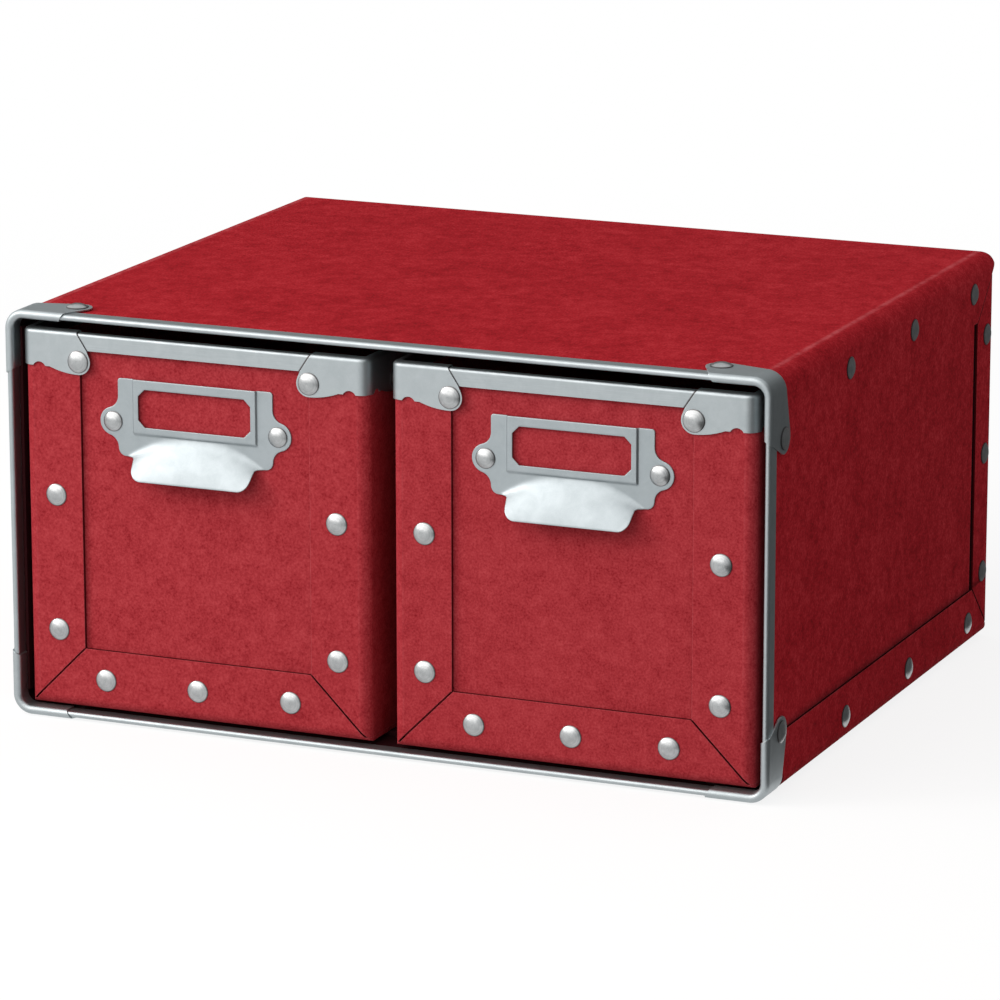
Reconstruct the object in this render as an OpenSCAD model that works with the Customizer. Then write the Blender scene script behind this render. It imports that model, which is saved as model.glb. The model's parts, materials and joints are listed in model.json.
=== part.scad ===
// Tabletop chest with two open-topped drawers for discs in their cases.
// The cabinet is riveted fibreboard with metal channel round its mouth.
// Each drawer is folded board with a metal rim, corner caps and a label pull.
// The origin is on the surface it stands on, under the cabinet's middle.
// +X is to the right, -Y to the front and +Z up. Sizes are in millimetres.

/* [Boards] */
// Thickness of the fibreboard
board_t = 1.6; // [1.2:0.1:2]
// Radius of the cabinet's long folds, on the outside
fold_r = 7; // [5:0.5:9]
// Radius of the cabinet's folds at the back, on the outside
rear_fold_r = 2.5; // [2.2:0.1:4]

/* [Cabinet] */
// Width over the boards
body_w = 320; // [300:1:400]
// Depth from the front of the mouth to the back flaps
body_d = 266; // [230:1:340]
// Height from the ground to the top board's face
body_h = 164; // [150:1:200]
// Height of the base board's side flaps, and length of the rear flaps
base_flap = 24.5; // [22:0.5:30]
// How far the back panel's flaps come forward along the sides
back_flap = 21.3; // [19:0.1:23]
// How far the side panels stop short of the back
side_setback = 26; // [25:0.1:30]
// Height above the ground at which the back flaps' lower mitre starts
low_mitre = 3.5; // [3:0.1:5]
// Depth below the top at which the back flaps' upper mitre starts
top_mitre = 5.6; // [5:0.1:7]
// Open seam between two boards that meet in one face
seam = 0.8; // [0.4:0.1:1.2]
// Thickness of the floor liner
floor_t = 1.8; // [1.6:0.1:2.4]
// Where the floor liner starts, behind the front of the mouth
floor_setback = 22; // [20:0.5:30]

/* [Mouth frame] */
// Thickness of the channels, the drawers' rims and their caps
metal_t = 0.4; // [0.3:0.05:0.5]
// Thickness of the corner pieces, which fit over the channels
corner_t = 0.6; // [0.4:0.05:0.8]
// Depth of the channel's flanges
channel_d = 6.9; // [5:0.1:9]
// Length of a corner piece's lip along each side of the mouth
corner_arm = 25; // [23:0.5:28]
// Depth of a corner piece where it goes round the corner
corner_d = 15.5; // [13:0.5:16]
// Distance of a corner rivet from the corner, along the lip
ear_along = 24.5; // [23:0.5:28]
// Distance of a corner rivet behind the lip
ear_back = 13.8; // [13:0.1:15]
// Radius of an ear's round end
ear_r = 6; // [5:0.1:6.5]

/* [Cabinet rivets] */
// Distance between the side rivets, counted from the corner rivet
side_pitch = 75; // [68:1:80]
// Height of the side rivets in the base board's flap
base_rivet_z = 11.5; // [11:0.5:14]
// Depth of the upper side rivets below the top
top_rivet_drop = 13; // [12:0.5:15]
// Distance of the rear rivets from the back
rear_rivet_in = 9.5; // [7:0.1:11]
// Height of the lowest rear rivet
rear_rivet_z = 29.7; // [29:0.1:34]
// Distance between the rear rivets
rear_pitch = 50.6; // [44:0.2:52]
// Distance between the rivets on the back
back_pitch = 110; // [80:1:120]

/* [Drawers] */
// Width of a drawer over its boards
drawer_w = 148.5; // [140:0.5:150]
// Depth of a drawer over its flaps
drawer_d = 254; // [210:1:256]
// Distance between the middles of the two drawers
drawer_pitch = 158.9; // [156:0.1:160]
// How far the drawer fronts sit behind the front of the mouth
drawer_setback = 2.5; // [2:0.1:6]
// Space between the floor liner and a drawer
drawer_lift = 0.3; // [0.2:0.1:0.6]
// Height from the ground to the top of the rim
rim_top = 157.3; // [146:0.1:158]
// Radius of a drawer's folds, on the outside
drawer_fold_r = 4.2; // [2.2:0.1:4.4]
// Width of the flaps on a drawer's front and back
drawer_flap = 24.7; // [20:0.1:28]
// Open seam along the flaps' mitres
mitre_seam = 1; // [0.4:0.1:1.2]
// Height of the metal rim's flanges
rim_h = 6.8; // [5:0.1:9]
// Radius along the rim's two edges
rim_edge_r = 1.2; // [0.8:0.1:1.4]

/* [Drawer corner caps] */
// Length of a cap along the rim's top
cap_top = 23.6; // [22:0.1:26]
// Length of a cap at the rim's lower edge
cap_low = 28.1; // [27.5:0.1:30]
// Distance of a cap's rivet from the drawer's edge
cap_rivet_in = 24.4; // [23:0.1:26]
// Depth of a cap's rivet below the rim's top
cap_rivet_drop = 11.4; // [11:0.1:13]
// Radius of a cap's round lobe
cap_lobe_r = 5.2; // [4.8:0.1:5.8]
// Depth of a cap at its corner fold
cap_fold_drop = 14.2; // [13:0.1:15]
// Depth of a cap at the notch beside the fold
cap_notch_drop = 12.6; // [11.5:0.1:13.5]
// Distance of that notch from the drawer's edge
cap_notch_in = 7.2; // [7:0.1:9]
// Radius of that notch
cap_notch_r = 3; // [2:0.1:3.2]
// Radius of a cap's lower edge
cap_belly_r = 34; // [30:1:60]

/* [Drawer rivets] */
// Distance of the side flaps' rivets from the drawer's edge
side_rivet_in = 13.3; // [10:0.1:15]
// Height of the lower of them above the drawer's underside
side_rivet_z = 31.5; // [30:0.5:40]
// Distance between the two
side_rivet_gap = 55; // [45:0.5:60]
// Height of the bottom flap's rivets above the drawer's underside
low_rivet_z = 12.5; // [9:0.1:14]
// Distance between the bottom flap's rivets
low_pitch = 40.4; // [30:0.1:44]

/* [Rivets] */
// Diameter of a board rivet's domed head
head_d = 8.9; // [7:0.1:9.2]
// Height of a domed head
head_h = 1.6; // [1.2:0.1:2]
// Diameter of a shank
shank_d = 3; // [2:0.1:3.4]
// Diameter of the flat head on the inside
tail_d = 6; // [5:0.1:6.4]
// Thickness of the flat head on the inside
tail_h = 0.6; // [0.4:0.1:0.8]
// Diameter of the rivet heads on the label pull
pull_head_d = 8.1; // [6:0.1:8.6]

/* [Label pull] */
// Thickness of the pull's sheet
pull_t = 0.6; // [0.4:0.1:0.8]
// Width of the plate without its ears
plate_w = 67; // [62:0.5:70]
// Height of the plate
plate_h = 31.2; // [30:0.1:36]
// Depth of the plate's top edge below the rim's top
plate_drop = 16.6; // [16:0.1:24]
// Radius of the plate's upper corners
plate_r = 1.2; // [0.8:0.1:3]
// Radius of the plate's lower corners
plate_low_r = 3.2; // [1:0.1:3.3]
// Distance between the pull's two rivets
pull_rivet_w = 71.4; // [68:0.1:74]
// Height of the rivets above the plate's lower edge
pull_rivet_z = 13.6; // [12:0.1:16]
// Radius of the ears
pull_ear_r = 5.7; // [5:0.1:6]
// Radius of the hollows beside the ears
pull_hollow_r = 5; // [2:0.1:5]
// Width of the raised label frame
label_w = 54; // [50:0.5:56]
// Height of the label frame's lower edge above the plate's
label_z = 9.1; // [8.8:0.1:11]
// How far the label frame stands proud of the plate
label_rise = 0.9; // [0.6:0.1:1.2]
// Width of the label window
window_w = 48.6; // [44:0.1:49]
// Height of the label window
window_h = 15.2; // [12:0.1:16]
// Width of the frame under the window
window_lift = 3.2; // [2:0.1:3.6]
// Length of the window's cut corners
window_cut = 2.8; // [1:0.1:4]
// Width of the finger hood at its widest
hood_w = 54.5; // [48:0.5:56]
// Width of the hood's lower lip
hood_lip_w = 44.6; // [40:0.2:46]
// How far the hood hangs below the plate
hood_drop = 8; // [6:0.1:10]
// Height of the hood from its lip to its crown
hood_h = 16.4; // [15:0.1:17]
// Height of the hood's ends above its lip
hood_end_h = 8; // [6:0.1:9]
// How far the lip stands out from the plate
hood_out = 7.4; // [6:0.1:12]
// Corner radius at the ends of the lip
hood_lip_r = 4; // [3:0.1:6]

/* [Hidden] */
$fn = 96;
LEFT = -1;
RIGHT = 1;
BOTTOM = -1;
TOP = 1;
FRONT = 0;
BACK = 1;
EPS = 0.01;
CUT = 1;
REACH = 500;
shank_play = 0.05;
seat_gap = 0.3;

// Mouth frame, counted along n, outward from the boards' faces, and v, back from the front
frame_n = metal_t + corner_t;
board_v = frame_n + board_t / 2;
lip_slant = 30;
rebate = frame_n;
base_t = board_t + rebate;
inner_r = fold_r - board_t;

// Cabinet planes
front_y = -body_d / 2;
back_y = body_d / 2;
half_w = body_w / 2;
panel_y = back_y - board_t;
panel_in_y = panel_y - board_t;
liner_x = half_w - 2 * board_t;
liner_v = channel_d + seat_gap;
liner_z0 = base_t + inner_r + seat_gap;
liner_z1 = body_h - fold_r - seat_gap;
floor_z = base_t + floor_t;
side_z0 = base_flap + seam;
ear_tip_v = ear_back + ear_r;
flat_x = half_w - fold_r;

// Drawer planes, with v counted back from the drawer's front flaps
drawer_z = floor_z + drawer_lift;
drawer_x = drawer_w / 2;
board_top = rim_top - rim_edge_r;
fold_in = drawer_fold_r;
panel_v = board_t;
stack = 2 * board_t;
face_n = 2 * metal_t;
cap_rivet_z = rim_top - cap_rivet_drop;
plate_z = rim_top - plate_drop - plate_h;
hood_z = plate_z - hood_drop;

// The hood is turned about a line behind the plate
hood_back = (hood_h * hood_h - hood_out * hood_out) / (2 * hood_out);
hood_r = hood_back + hood_out;
hood_end_r = sqrt(pow(hood_end_h, 2) + pow(hood_back, 2));
hood_sag = hood_r - hood_end_r;
hood_arc_r = (pow(hood_w / 2, 2) + pow(hood_sag, 2)) / (2 * hood_sag);

side_rivet_y = [for (i = [1:3]) front_y + ear_back + i * side_pitch];
rear_rivet_zs = [for (i = [0:2]) rear_rivet_z + i * rear_pitch];

red = "#a3222c";
dark_red = "#5c1018";
steel = "#b4babd";
bright = "#d5d8da";

SIDES = [["left", LEFT], ["right", RIGHT]];
ENDS = [["front", FRONT], ["back", BACK]];
DRAWER_PARTS = [
    "tray", "side_left", "side_right", "panel_front", "panel_back",
    "rim_front", "rim_back", "rim_left", "rim_right",
    "cap_front_left", "cap_front_right", "cap_back_left", "cap_back_right",
    "pull", "pull_rivets", "rivets_front", "rivets_back", "rivets_sides"
];

// Helpers ---------------------------------------------------------------

// Draws a profile of (y, z) from x0 to x1
module along_x(x0, x1) translate([x0, 0, 0]) rotate([90, 0, 90]) linear_extrude(x1 - x0) children();

// Draws a profile of (x, z) from y0 to y1
module along_y(y0, y1) translate([0, y1, 0]) rotate([90, 0, 0]) linear_extrude(y1 - y0) children();

// Draws a profile of (x, y) from z0 to z1
module along_z(z0, z1) translate([0, 0, z0]) linear_extrude(z1 - z0) children();

module box(low, high) translate(low) cube(high - low);

module rect(low, high) translate(low) square(high - low);

// Rectangle whose four corners have one radius
module round_rect(low, high, r) {
    rect(low + [r, 0], high - [r, 0]);
    rect(low + [0, r], high - [0, r]);
    for (x = [low[0] + r, high[0] - r], y = [low[1] + r, high[1] - r]) translate([x, y]) circle(r);
}

// Point where a line from p touches the circle at c, on its left (1) or right (-1).
// A point inside the circle is its own.
function touch(p, c, r, side) =
    let (d = norm(c - p), a = atan2(c[1] - p[1], c[0] - p[0]))
    let (b = asin(min(1, r / d)), l = sqrt(max(0, d * d - r * r)))
    p + l * [cos(a + side * b), sin(a + side * b)];

module mirror_x(side) mirror([side < 0 ? 1 : 0, 0, 0]) children();

// Rivets ------------------------------------------------------------------

// Rivet along +Z: its head stands on z = 0 and its shank goes down through the grip
module rivet(grip, d = head_d, tail = true) {
    cap_r = (pow(d / 2, 2) + pow(head_h, 2)) / (2 * head_h);
    rotate_extrude() intersection() {
        translate([0, head_h - cap_r]) circle(cap_r);
        square([d, head_h]);
    }
    translate([0, 0, -grip]) cylinder(d = shank_d, h = grip + EPS);
    if (tail) translate([0, 0, -grip - tail_h]) cylinder(d = tail_d, h = tail_h);
}

// Hole for a shank, along +Z from below the grip to above it
module rivet_hole(grip) translate([0, 0, -grip - CUT])
    cylinder(r = shank_d / 2 + shank_play, h = grip + 2 * CUT);

// Puts things that point along +Z on a face: right, left, front, back or top
module on_side(side, x, y, z) translate([side * x, y, z]) rotate([0, side * 90, 0]) children();

module on_front(x, y, z) translate([x, y, z]) rotate([90, 0, 0]) children();

module on_back(x, y, z) translate([x, y, z]) rotate([-90, 0, 0]) children();

// Cabinet -----------------------------------------------------------------

module body_outline() round_rect([-half_w, 0], [half_w, body_h], fold_r);

// The boards' outline inside the frame, where the base is let in
module mouth_outline() round_rect([-half_w, rebate], [half_w, body_h], fold_r);

module inner_outline() round_rect([-half_w + board_t, base_t], [half_w - board_t, body_h - board_t], inner_r);

module board_ring() difference() {
    body_outline();
    inner_outline();
}

// Holes of every rivet in the cabinet's sides
module side_holes() for (side = [LEFT, RIGHT]) {
    for (y = side_rivet_y) {
        on_side(side, half_w, y, base_rivet_z) rivet_hole(stack);
        on_side(side, half_w, y, body_h - top_rivet_drop) rivet_hole(stack);
    }
    for (z = rear_rivet_zs) on_side(side, half_w, back_y - rear_rivet_in, z) rivet_hole(stack);
    for (z = [rebate + ear_along, body_h - ear_along])
        on_side(side, half_w, front_y + ear_back, z) rivet_hole(stack);
}

module back_holes() for (i = [-1:1], z = [base_rivet_z, body_h - top_rivet_drop])
    on_back(i * back_pitch, back_y, z) rivet_hole(stack);

// Holes of the corner rivets in the top and the base
module corner_holes() for (side = [LEFT, RIGHT])
    translate([side * (half_w - ear_along), front_y + ear_back, 0]) {
        translate([0, 0, body_h]) rivet_hole(board_t);
        translate([0, 0, base_t]) rivet_hole(base_t);
    }

// Top and both side panels, folded from one sheet, with a flap down the back
module sleeve() color(red) difference() {
    union() {
        along_y(front_y + board_v, back_y) intersection() {
            board_ring();
            rect([-REACH, side_z0], [REACH, body_h + CUT]);
        }
        along_y(panel_y, back_y) polygon([
            [-flat_x, body_h - board_t], [flat_x, body_h - board_t],
            [flat_x - base_flap + board_t, body_h - base_flap],
            [-flat_x + base_flap - board_t, body_h - base_flap]
        ]);
    }
    for (side = [LEFT, RIGHT]) mirror_x(side) along_x(half_w - fold_r, half_w + CUT) side_panel_cut();
    along_x(-REACH, REACH) difference() {
        rect([back_y - rear_fold_r, body_h - rear_fold_r], [back_y + CUT, body_h + CUT]);
        translate([back_y - rear_fold_r, body_h - rear_fold_r]) circle(rear_fold_r);
    }
    side_holes();
    back_holes();
    corner_holes();
}

// What is cut off the side panels at the back, as (y, z)
module side_panel_cut() {
    z0 = body_h - top_mitre + seam;
    corner_z = z0 - back_flap;
    polygon([
        [back_y + CUT, z0 + CUT], [back_y - back_flap, corner_z], [back_y - side_setback, corner_z],
        [back_y - side_setback, 0], [back_y + CUT, 0]
    ]);
}

// Floor board with flaps up both sides and up the back, let in under the frame
module base() color(red) difference() {
    union() {
        along_y(front_y + board_v, back_y) intersection() {
            board_ring();
            rect([-REACH, -CUT], [REACH, base_flap]);
        }
        along_y(panel_y, back_y) polygon([
            [-flat_x, base_t], [flat_x, base_t],
            [flat_x - base_flap + base_t, base_flap], [-flat_x + base_flap - base_t, base_flap]
        ]);
    }
    for (side = [LEFT, RIGHT]) mirror_x(side) along_x(half_w - board_t - EPS, half_w + CUT) base_flap_cut();
    along_x(-REACH, REACH) difference() {
        rect([back_y - rear_fold_r, -CUT], [back_y + CUT, rear_fold_r]);
        translate([back_y - rear_fold_r, rear_fold_r]) circle(rear_fold_r);
    }
    difference() {
        union() {
            box([-REACH, front_y, -CUT], [REACH, front_y + channel_d + seat_gap, base_flap]);
            for (side = [LEFT, RIGHT]) mirror_x(side)
                box([half_w - ear_along - ear_r - seat_gap, front_y, -CUT],
                    [REACH, front_y + ear_tip_v + seat_gap, base_flap]);
        }
        along_y(front_y - CUT, back_y) mouth_outline();
    }
    side_holes();
    back_holes();
    corner_holes();
}

// What is cut off the base's side flaps at the back, as (y, z)
module base_flap_cut() {
    z0 = low_mitre - seam * sqrt(2);
    polygon([
        [back_y + CUT, z0 - CUT], [back_y + CUT, body_h],
        [back_y - body_h + z0, body_h]
    ]);
}

// Recessed back panel, with flaps folded forward over the sides
module back() color(red) difference() {
    union() {
        along_y(panel_in_y, panel_y) round_rect(
            [-half_w + board_t, base_t], [half_w - board_t, body_h - board_t], inner_r);
        intersection() {
            along_z(0, body_h) back_wrap();
            along_x(-REACH, REACH) polygon([
                [back_y, low_mitre], [back_y, body_h - top_mitre],
                [back_y - back_flap, body_h - top_mitre - back_flap],
                [back_y - back_flap, low_mitre + back_flap]
            ]);
        }
    }
    side_holes();
    back_holes();
}

// Plan of the back panel with its two side flaps
module back_wrap() difference() {
    round_rect([-half_w, back_y - back_flap - 2 * rear_fold_r], [half_w, panel_y], rear_fold_r);
    rect([-REACH, front_y], [REACH, back_y - back_flap]);
    rect([-half_w + board_t, front_y], [half_w - board_t, panel_in_y]);
}

module liner(side) color(dark_red) difference() {
    mirror_x(side) box([liner_x, front_y + liner_v, liner_z0], [liner_x + board_t, panel_in_y, liner_z1]);
    side_holes();
}

module floor_liner() color(dark_red)
    box([-flat_x, front_y + floor_setback, base_t], [flat_x, panel_in_y, floor_z]);

// Mouth frame ---------------------------------------------------------------

// Section of a sheet folded round the boards' edge, as (n, v), with a gap to the boards
module channel_section(gap, t) {
    mid = -board_t / 2;
    in = board_t / 2 + gap;
    out = in + t;
    difference() {
        union() {
            translate([mid, board_v]) circle(out);
            rect([mid - out, board_v], [mid + out, channel_d]);
        }
        translate([mid, board_v]) circle(in);
        rect([mid - in, board_v], [mid + in, channel_d + CUT]);
    }
}

// Straight channel, standing along +Z from z0 to z1, with the boards' face on x = 0
module channel(z0, z1) translate([0, front_y, 0]) along_z(z0, z1) channel_section(0, metal_t);

module rail_side(side) color(steel)
    mirror_x(side) translate([half_w, 0, 0]) channel(rebate + fold_r, body_h - fold_r);

module rail_top() color(steel)
    translate([0, 0, body_h]) rotate([0, -90, 0]) channel(-flat_x, flat_x);

module rail_bottom() color(steel)
    translate([0, 0, rebate]) rotate([0, 90, 0]) channel(-flat_x, flat_x);

// Outline of an ear as (along the lip from the corner, back from the front)
module ear_outline() {
    rivet_at = [ear_along, ear_back];
    low = touch([corner_arm, board_v], rivet_at, ear_r, -1);
    high = touch([fold_r, corner_d], rivet_at, ear_r, 1);
    polygon([[fold_r, board_v], [corner_arm, board_v], low, rivet_at, high, [fold_r, corner_d]]);
    translate(rivet_at) circle(ear_r);
}

// One arm of a corner piece, along +Z from the corner, with the boards' face on x = 0
module corner_half() difference() {
    union() {
        difference() {
            translate([0, front_y, 0]) along_z(fold_r, corner_arm) channel_section(metal_t, corner_t);
            translate([frame_n, front_y - CUT, corner_arm]) rotate([0, -lip_slant, 0])
                translate([-ear_along, 0, 0]) cube(ear_along);
        }
        translate([0, front_y, 0]) along_x(metal_t, frame_n) mirror([1, -1]) ear_outline();
    }
    translate([0, front_y + ear_back, ear_along]) rotate([0, 90, 0]) rivet_hole(frame_n);
}

// Corner piece of the upper right corner, with the boards' corner at x = 0 and z = 0
module corner_piece() {
    mirror([0, 0, 1]) corner_half();
    rotate([0, -90, 0]) corner_half();
    translate([-fold_r, front_y, -fold_r]) rotate([-90, 0, 0]) rotate([0, 0, -90])
        rotate_extrude(angle = 90) {
            translate([fold_r, 0]) channel_section(metal_t, corner_t);
            rect([fold_r + metal_t, board_v], [fold_r + frame_n, corner_d]);
        }
}

module corner(side, level) color(bright)
    mirror_x(side) translate([half_w, 0, level == TOP ? body_h : rebate])
        mirror([0, 0, level == TOP ? 0 : 1]) corner_piece();

// Cabinet rivets ------------------------------------------------------------

module rivets_side(side) color(bright) {
    for (y = side_rivet_y, z = [base_rivet_z, body_h - top_rivet_drop])
        on_side(side, half_w, y, z) rivet(stack, tail = false);
    for (z = rear_rivet_zs) on_side(side, half_w, back_y - rear_rivet_in, z) rivet(stack, tail = false);
}

module rivets_back() color(bright) for (i = [-1:1], z = [base_rivet_z, body_h - top_rivet_drop])
    on_back(i * back_pitch, back_y, z) rivet(stack);

// Two in each corner piece; those in the base are set from inside and end flush
module rivets_corners() color(bright) for (side = [LEFT, RIGHT]) {
    for (z = [rebate + ear_along, body_h - ear_along])
        on_side(side, half_w + frame_n, front_y + ear_back, z) rivet(stack + frame_n, tail = false);
    translate([side * (half_w - ear_along), front_y + ear_back, body_h + frame_n]) rivet(board_t + frame_n);
    translate([side * (half_w - ear_along), front_y + ear_back, base_t]) rivet(base_t, tail = false);
}

// Drawer --------------------------------------------------------------------
// Drawn with its front flaps on y = 0 and its middle on x = 0.

module drawer_plan(grow = 0, r = drawer_fold_r)
    round_rect([-drawer_x - grow, -grow], [drawer_x + grow, drawer_d + grow], r);

// Repeats what is drawn at the front, at the back too
module both_ends() {
    children();
    translate([0, drawer_d, 0]) mirror([0, 1, 0]) children();
}

// Places of a drawer's rivets in its front, as (x, z)
low_rivets = [for (i = [-1:1]) [i * low_pitch, drawer_z + low_rivet_z]];
flap_rivets = [for (side = [LEFT, RIGHT], i = [0:1])
    [side * (drawer_x - side_rivet_in), drawer_z + side_rivet_z + i * side_rivet_gap]];
cap_rivets = [for (side = [LEFT, RIGHT]) [side * (drawer_x - cap_rivet_in), cap_rivet_z]];
pull_rivets = [for (side = [LEFT, RIGHT]) [side * pull_rivet_w / 2, plate_z + pull_rivet_z]];

module drawer_holes() {
    both_ends() for (at = concat(low_rivets, flap_rivets, cap_rivets))
        on_front(at[0], 0, at[1]) rivet_hole(stack);
    for (side = [LEFT, RIGHT], y = [cap_rivet_in, drawer_d - cap_rivet_in])
        on_side(side, drawer_x, y, cap_rivet_z) rivet_hole(board_t);
}

// Region of the front under the mitres, as (x, z), widened by grow
module below_mitres(grow) polygon([
    [-drawer_x - grow, drawer_z], [drawer_x + grow, drawer_z],
    [drawer_x + grow - drawer_flap, drawer_z + drawer_flap],
    [-drawer_x - grow + drawer_flap, drawer_z + drawer_flap]
]);

// Bottom sheet with its flaps up the front and the back
module tray() color(red) {
    high = drawer_z + drawer_flap;
    difference() {
        intersection() {
            along_x(-drawer_x, drawer_x) difference() {
                round_rect([0, drawer_z], [drawer_d, high + 2 * drawer_fold_r], drawer_fold_r);
                round_rect([board_t, drawer_z + board_t], [drawer_d - board_t, high + 2 * drawer_fold_r + CUT],
                    drawer_fold_r - board_t);
                rect([-CUT, high], [drawer_d + CUT, high + drawer_w]);
            }
            union() {
                along_z(drawer_z - CUT, drawer_z + board_t) drawer_plan();
                along_y(-CUT, drawer_d + CUT) below_mitres(-mitre_seam / 2);
            }
        }
        drawer_holes();
    }
}

// Side sheet with its flaps round onto the front and the back
module drawer_side(side) color(red) difference() {
    along_z(drawer_z + board_t, board_top) difference() {
        drawer_plan();
        round_rect([-drawer_x + board_t, board_t], [drawer_x - board_t, drawer_d - board_t],
            drawer_fold_r - board_t);
        mirror_x(-side) rect([-drawer_x + drawer_flap, -CUT], [drawer_w, drawer_d + CUT]);
    }
    both_ends() along_y(-CUT, fold_in) below_mitres(mitre_seam / 2);
    drawer_holes();
}

// Recessed panel behind the flaps, with holes for the pull at the front only
module drawer_panel(end) color(red) difference() {
    box([-drawer_x + fold_in, panel_v, drawer_z + fold_in], [drawer_x - fold_in, stack, board_top]);
    drawer_holes();
    if (end == FRONT) for (at = pull_rivets) on_front(at[0], panel_v, at[1]) rivet_hole(board_t);
}

// Rim section over a stack of boards from 0 to t, as (v, z)
module rim_section(t) difference() {
    rim_profile(t, metal_t, 0);
    rim_profile(t, 0, -metal_t);
    rect([0, 0], [t, board_top]);
}

// Solid outline of a rim, grown sideways and raised
module rim_profile(t, grow, rise) {
    r = rim_edge_r - metal_t + grow;
    rect([-grow, rim_top - rim_h], [t + grow, rim_top + rise - r]);
    if (t + 2 * grow > 2 * r + EPS) rect([-grow + r, rim_top - rim_h], [t + grow - r, rim_top + rise]);
    for (v = [-grow + r, t + grow - r]) translate([v, rim_top + rise - r]) circle(r);
}

module rim_end() color(steel) along_x(-drawer_x + fold_in, drawer_x - fold_in) rim_section(stack);

// The side rims start behind the front rim and behind the fold
module rim_side(side) color(steel) {
    start = max(stack + metal_t, fold_in) + EPS;
    mirror_x(side) translate([drawer_x, 0, 0])
        along_y(start, drawer_d - start) mirror([1, 0]) rim_section(board_t);
}

// Solid corner of the rims with rounded edges, offset by grow from the rims
module cap_block(grow) {
    top = rim_top + grow;
    out = metal_t + grow;
    edge = rim_edge_r + grow;
    fold = drawer_fold_r + out;
    reach = cap_low + 2 * cap_lobe_r;
    low = rim_top - cap_rivet_drop - 2 * cap_lobe_r;
    difference() {
        union() {
            box([-reach, -out, low], [out, stack + out, top]);
            box([-board_t - out, -out, low], [out, reach, top]);
        }
        along_x(-reach - CUT, out + CUT) edge_cut(-out, top, edge);
        along_y(-out - CUT, reach + CUT) mirror([1, 0]) edge_cut(-out, top, edge);
        difference() {
            box([out - fold, -out - CUT, low - CUT], [out + CUT, fold - out, top + CUT]);
            translate([out - fold, fold - out, low - CUT]) fold_solid(fold, top - low + CUT, edge);
        }
    }
}

// Upright post with a rounded top edge
module fold_solid(r, h, edge) {
    cylinder(r = r - edge, h = h);
    rotate_extrude() {
        square([r, h - edge]);
        intersection() {
            translate([r - edge, h - edge]) circle(edge);
            square([r, h]);
        }
    }
}

// Square corner less its round, at (low v, top z)
module edge_cut(v, z, r) difference() {
    rect([v - CUT, z - r], [v + r, z + CUT]);
    translate([v + r, z - r]) circle(r);
}

// Outline of a cap's face as (inward from the drawer's edge, height)
module cap_outline() {
    at = [cap_rivet_in, cap_rivet_z];
    shoulder = [cap_low, rim_top - rim_h];
    high = touch(shoulder, at, cap_lobe_r, 1);
    top = rim_top + face_n;
    low = at[1] - cap_lobe_r;
    notch = [cap_notch_in, rim_top - cap_notch_drop - cap_notch_r];
    difference() {
        intersection() {
            polygon([
                [fold_in, top], [cap_top, top], [cap_top, rim_top], shoulder, high, at,
                [at[0], low], [cap_notch_in, low], [cap_notch_in, rim_top - cap_fold_drop],
                [fold_in, rim_top - cap_fold_drop]
            ]);
            union() {
                translate([at[0], low + cap_belly_r]) circle(cap_belly_r);
                rect([fold_in, rim_top - cap_fold_drop], [cap_top, top]);
                rect([fold_in, rim_top - rim_h], [cap_low, top]);
            }
        }
        translate(notch) circle(cap_notch_r);
    }
    translate(at) circle(cap_lobe_r);
}

// Cap of the front right corner, with the drawer's edge on x = 0
module cap_piece() difference() {
    intersection() {
        difference() {
            cap_block(metal_t);
            cap_block(0);
            box([-REACH, stack, 0], [-board_t, REACH, rim_top - rim_h]);
        }
        union() {
            along_y(-REACH, stack + face_n + CUT) mirror([1, 0]) cap_outline();
            along_x(-board_t - face_n - CUT, REACH) cap_outline();
            box([-fold_in - EPS, -face_n - CUT, rim_top - cap_fold_drop],
                [face_n + CUT, fold_in + EPS, rim_top + face_n + CUT]);
        }
    }
    on_front(-cap_rivet_in, 0, cap_rivet_z) rivet_hole(stack);
    on_side(RIGHT, 0, cap_rivet_in, cap_rivet_z) rivet_hole(board_t);
}

module cap(side) color(bright) mirror_x(side) translate([drawer_x, 0, 0]) cap_piece();

// Label pull ------------------------------------------------------------------

// Face of the plate with its ears, as (x, z)
module plate_outline() {
    mid = [pull_rivet_w / 2, plate_z + pull_rivet_z];
    hollow_x = plate_w / 2 + pull_hollow_r;
    rise = sqrt(pow(pull_ear_r + pull_hollow_r, 2) - pow(hollow_x - mid[0], 2));
    intersection() {
        round_rect([-plate_w / 2, plate_z], [plate_w / 2, plate_z + 2 * plate_h], plate_low_r);
        round_rect([-plate_w / 2, plate_z - plate_h], [plate_w / 2, plate_z + plate_h], plate_r);
    }
    for (side = [0, 1]) mirror([side, 0]) {
        translate(mid) circle(pull_ear_r);
        difference() {
            polygon([
                [plate_w / 2 - CUT, mid[1] - rise], [hollow_x, mid[1] - rise], mid, [hollow_x, mid[1] + rise],
                [plate_w / 2 - CUT, mid[1] + rise]
            ]);
            for (z = [-rise, rise]) translate([hollow_x, mid[1] + z]) circle(pull_hollow_r);
        }
    }
}

// Label frame, inset by a margin all round but open at the top
module label_outline(margin) intersection() {
    round_rect([-label_w / 2 + margin, plate_z + label_z + margin],
        [label_w / 2 - margin, plate_z + plate_h + label_w], plate_r);
    rect([-label_w, plate_z], [label_w, plate_z + plate_h + margin]);
}

module window_outline() {
    low = plate_z + label_z + window_lift;
    w = window_w / 2;
    polygon([
        [-w, low + window_cut], [-w + window_cut, low], [w - window_cut, low], [w, low + window_cut],
        [w, low + window_h - window_cut], [w - window_cut, low + window_h],
        [-w + window_cut, low + window_h], [-w, low + window_h - window_cut]
    ]);
}

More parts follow.
